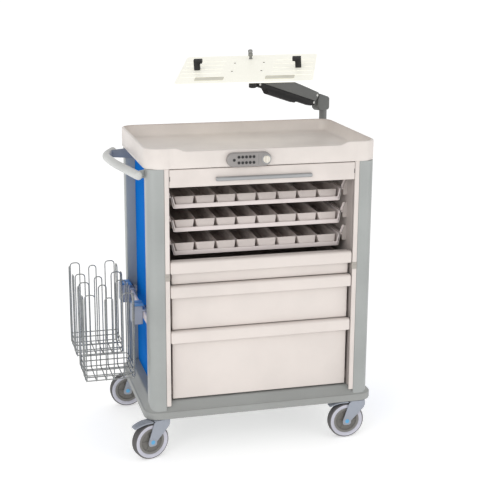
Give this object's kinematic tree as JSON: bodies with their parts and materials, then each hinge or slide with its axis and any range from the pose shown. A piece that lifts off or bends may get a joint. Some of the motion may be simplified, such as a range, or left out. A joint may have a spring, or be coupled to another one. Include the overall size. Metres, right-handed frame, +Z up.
{
  "type": "medication cart",
  "caption": "Ward medication cart: shuttered bin trays, drawers, dished worktop, side racks, push handle and a laptop arm on casters.",
  "frame": {"origin": "middle of the cabinet's footprint, on the floor", "axes": "+X to the right seen from the front, +Y to the back, +Z up"},
  "size_m": [0.9832, 0.5872, 1.3076],
  "materials": {
    "worktop": "fine satin moulded plastic",
    "cabinet_front": "satin moulded plastic",
    "cabinet_steel": "satin powder coat",
    "curtain": "ribbed satin plastic",
    "post": "satin anodised",
    "base": "satin moulded plastic",
    "side_panel": "satin powder coat",
    "tray": "satin powder coat",
    "bin": "moulded plastic",
    "pull": "satin anodised",
    "lock": "satin metallic grey",
    "key": "matt",
    "knob": "semi-gloss",
    "handle": "satin powder coat",
    "bracket": "satin powder coat",
    "rail": "satin powder coat",
    "wire": "bright plated wire",
    "hook": "satin moulded plastic",
    "caster_housing": "satin moulded plastic",
    "hub": "satin moulded plastic",
    "tyre": "matt grey rubber with a dark tread",
    "arm_cover": "fine textured coat",
    "arm_link": "matt moulded plastic",
    "laptop_tray": "satin powder coat",
    "clip": "matt moulded plastic",
    "stud": "satin"
  },
  "bodies": {
    "root": {"base_moulding": "base", "worktop": "worktop", "back_panel": "cabinet_steel", "inner_liners": "cabinet_steel", "guide_strips": "cabinet_steel", "slide_rails": "cabinet_steel", "shutter_curtain": "curtain", "lock_housing": "lock", "handle_tube": "handle", "handle_brackets": "bracket", "side_rail": "rail", "mast_bracket": "bracket", "left_side_panel": "side_panel", "right_side_panel": "side_panel", "front_left_post": "post", "front_right_post": "post", "rear_left_post": "post", "rear_right_post": "post"},
    "front_left_caster": {"front_left_caster_fork": "caster_housing"},
    "front_left_wheel": {"front_left_caster_wheel": "hub", "front_left_caster_tyre": "tyre"},
    "front_left_brake": {"front_left_brake_pedal": "caster_housing"},
    "front_right_caster": {"front_right_caster_fork": "caster_housing"},
    "front_right_wheel": {"front_right_caster_wheel": "hub", "front_right_caster_tyre": "tyre"},
    "front_right_brake": {"front_right_brake_pedal": "caster_housing"},
    "rear_left_caster": {"rear_left_caster_fork": "caster_housing"},
    "rear_left_wheel": {"rear_left_caster_wheel": "hub", "rear_left_caster_tyre": "tyre"},
    "rear_right_caster": {"rear_right_caster_fork": "caster_housing"},
    "rear_right_wheel": {"rear_right_caster_wheel": "hub", "rear_right_caster_tyre": "tyre"},
    "top_drawer": {"top_drawer_front": "cabinet_front", "top_drawer_box": "cabinet_steel"},
    "middle_drawer": {"middle_drawer_front": "cabinet_front", "middle_drawer_box": "cabinet_steel"},
    "bottom_drawer": {"bottom_drawer_front": "cabinet_front", "bottom_drawer_box": "cabinet_steel"},
    "upper_tray": {"upper_bin_tray": "tray"},
    "upper_bins": {"upper_tray_bins": "bin"},
    "centre_tray": {"centre_bin_tray": "tray"},
    "centre_bins": {"centre_tray_bins": "bin"},
    "lower_tray": {"lower_bin_tray": "tray"},
    "lower_bins": {"lower_tray_bins": "bin"},
    "shutter": {"shutter_bar": "cabinet_steel", "shutter_handle": "pull"},
    "lock_keys": {"lock_keys": "key"},
    "lock_knob": {"lock_knob": "knob"},
    "rear_rack": {"rear_rack": "wire", "rear_rack_hook": "hook"},
    "front_rack": {"front_rack": "wire", "front_rack_hook": "hook"},
    "arm_elbow": {"arm_elbow": "arm_cover"},
    "arm_cover": {"arm_cover": "arm_cover"},
    "arm_link": {"arm_link": "arm_link"},
    "arm_head": {"arm_head": "arm_cover"},
    "tray_bracket": {"tray_bracket": "arm_cover"},
    "laptop_tray": {"laptop_tray": "laptop_tray", "tray_clips": "clip"},
    "tray_knob": {"tray_knob": "stud"}
  },
  "joints": [
    {"name": "front_left_swivel", "type": "hinge", "parent": "root", "child": "front_left_caster", "pos_m": [-0.346, -0.235, 0.1345], "axis": [0, 0, 1], "continuous": true},
    {"name": "front_left_roll", "type": "hinge", "parent": "front_left_caster", "child": "front_left_wheel", "pos_m": [-0.3831, -0.24564, 0.0625], "axis": [-0.2756, 0.9613, 0], "continuous": true},
    {"name": "front_left_brake_press", "type": "hinge", "parent": "front_left_caster", "child": "front_left_brake", "pos_m": [-0.37868, -0.24437, 0.1307], "axis": [-0.2756, 0.9613, 0], "range_deg": [-12, 0]},
    {"name": "front_right_swivel", "type": "hinge", "parent": "root", "child": "front_right_caster", "pos_m": [0.346, -0.235, 0.1345], "axis": [0, 0, 1], "continuous": true},
    {"name": "front_right_roll", "type": "hinge", "parent": "front_right_caster", "child": "front_right_wheel", "pos_m": [0.3074, -0.235, 0.0625], "axis": [0, 1, 0], "continuous": true},
    {"name": "front_right_brake_press", "type": "hinge", "parent": "front_right_caster", "child": "front_right_brake", "pos_m": [0.312, -0.235, 0.1307], "axis": [0, 1, 0], "range_deg": [-12, 0]},
    {"name": "rear_left_swivel", "type": "hinge", "parent": "root", "child": "rear_left_caster", "pos_m": [-0.346, 0.229, 0.1345], "axis": [0, 0, 1], "continuous": true},
    {"name": "rear_left_roll", "type": "hinge", "parent": "rear_left_caster", "child": "rear_left_wheel", "pos_m": [-0.3846, 0.229, 0.0625], "axis": [0, 1, 0], "continuous": true},
    {"name": "rear_right_swivel", "type": "hinge", "parent": "root", "child": "rear_right_caster", "pos_m": [0.346, 0.229, 0.1345], "axis": [0, 0, 1], "continuous": true},
    {"name": "rear_right_roll", "type": "hinge", "parent": "rear_right_caster", "child": "rear_right_wheel", "pos_m": [0.3074, 0.229, 0.0625], "axis": [0, 1, 0], "continuous": true},
    {"name": "top_drawer_slide", "type": "slide", "parent": "root", "child": "top_drawer", "axis": [0, -1, 0], "range_m": [0, 0.38]},
    {"name": "middle_drawer_slide", "type": "slide", "parent": "root", "child": "middle_drawer", "axis": [0, -1, 0], "range_m": [0, 0.38]},
    {"name": "bottom_drawer_slide", "type": "slide", "parent": "root", "child": "bottom_drawer", "axis": [0, -1, 0], "range_m": [0, 0.38]},
    {"name": "upper_tray_slide", "type": "slide", "parent": "root", "child": "upper_tray", "axis": [0, -1, 0], "range_m": [0, 0.3]},
    {"name": "upper_bins_lift", "type": "slide", "parent": "upper_tray", "child": "upper_bins", "axis": [0, 0, 1], "range_m": [0, 0.02]},
    {"name": "centre_tray_slide", "type": "slide", "parent": "root", "child": "centre_tray", "axis": [0, -1, 0], "range_m": [0, 0.3]},
    {"name": "centre_bins_lift", "type": "slide", "parent": "centre_tray", "child": "centre_bins", "axis": [0, 0, 1], "range_m": [0, 0.02]},
    {"name": "lower_tray_slide", "type": "slide", "parent": "root", "child": "lower_tray", "axis": [0, -1, 0], "range_m": [0, 0.3]},
    {"name": "lower_bins_lift", "type": "slide", "parent": "lower_tray", "child": "lower_bins", "axis": [0, 0, 1], "range_m": [0, 0.02]},
    {"name": "shutter_slide", "type": "slide", "parent": "root", "child": "shutter", "axis": [0, 0, 1], "range_m": [-0.24, 0]},
    {"name": "lock_keys_press", "type": "slide", "parent": "root", "child": "lock_keys", "axis": [0, 1, 0], "range_m": [0, 0.0012], "stiffness_N_per_m": 900},
    {"name": "lock_knob_turn", "type": "hinge", "parent": "root", "child": "lock_knob", "pos_m": [0.002, -0.271, 1.001], "axis": [0, -1, 0], "range_deg": [0, 90]},
    {"name": "rear_rack_slide", "type": "slide", "parent": "root", "child": "rear_rack", "axis": [0, 1, 0], "range_m": [-0.055, 0.004]},
    {"name": "front_rack_slide", "type": "slide", "parent": "root", "child": "front_rack", "axis": [0, 1, 0], "range_m": [-0.06, 0.045]},
    {"name": "mast_swivel", "type": "hinge", "parent": "root", "child": "arm_elbow", "pos_m": [0.374, 0.28, 1.072], "axis": [0, 0, 1], "range_deg": [-100, 100]},
    {"name": "arm_lift", "type": "hinge", "parent": "arm_elbow", "child": "arm_cover", "pos_m": [0.32796, 0.25178, 1.131], "axis": [-0.5225, 0.8526, 0], "range_deg": [-14, 22]},
    {"name": "link_swing", "type": "hinge", "parent": "arm_elbow", "child": "arm_link", "pos_m": [0.31687, 0.24499, 1.1053], "axis": [-0.5225, 0.8526, 0], "range_deg": [-14, 22]},
    {"name": "head_level", "type": "hinge", "parent": "arm_cover", "child": "arm_head", "pos_m": [0.0824, 0.10131, 1.22], "axis": [-0.5225, 0.8526, 0], "range_deg": [-22, 14]},
    {"name": "tray_swivel", "type": "hinge", "parent": "arm_head", "child": "tray_bracket", "pos_m": [0.05, 0.08145, 1.213], "axis": [0, 0, 1], "range_deg": [-90, 60]},
    {"name": "tray_tilt", "type": "hinge", "parent": "tray_bracket", "child": "laptop_tray", "pos_m": [0.05, 0.08145, 1.236], "axis": [0.9373, -0.3486, 0], "range_deg": [-10, 20]},
    {"name": "tray_knob_turn", "type": "hinge", "parent": "laptop_tray", "child": "tray_knob", "pos_m": [0.06634, 0.16841, 1.27368], "axis": [-0.1042, -0.15, 0.9832], "continuous": true}
  ],
  "couplings": [
    {"joint": "link_swing", "follows": "arm_lift", "ratio": 1},
    {"joint": "head_level", "follows": "arm_lift", "ratio": -1}
  ]
}
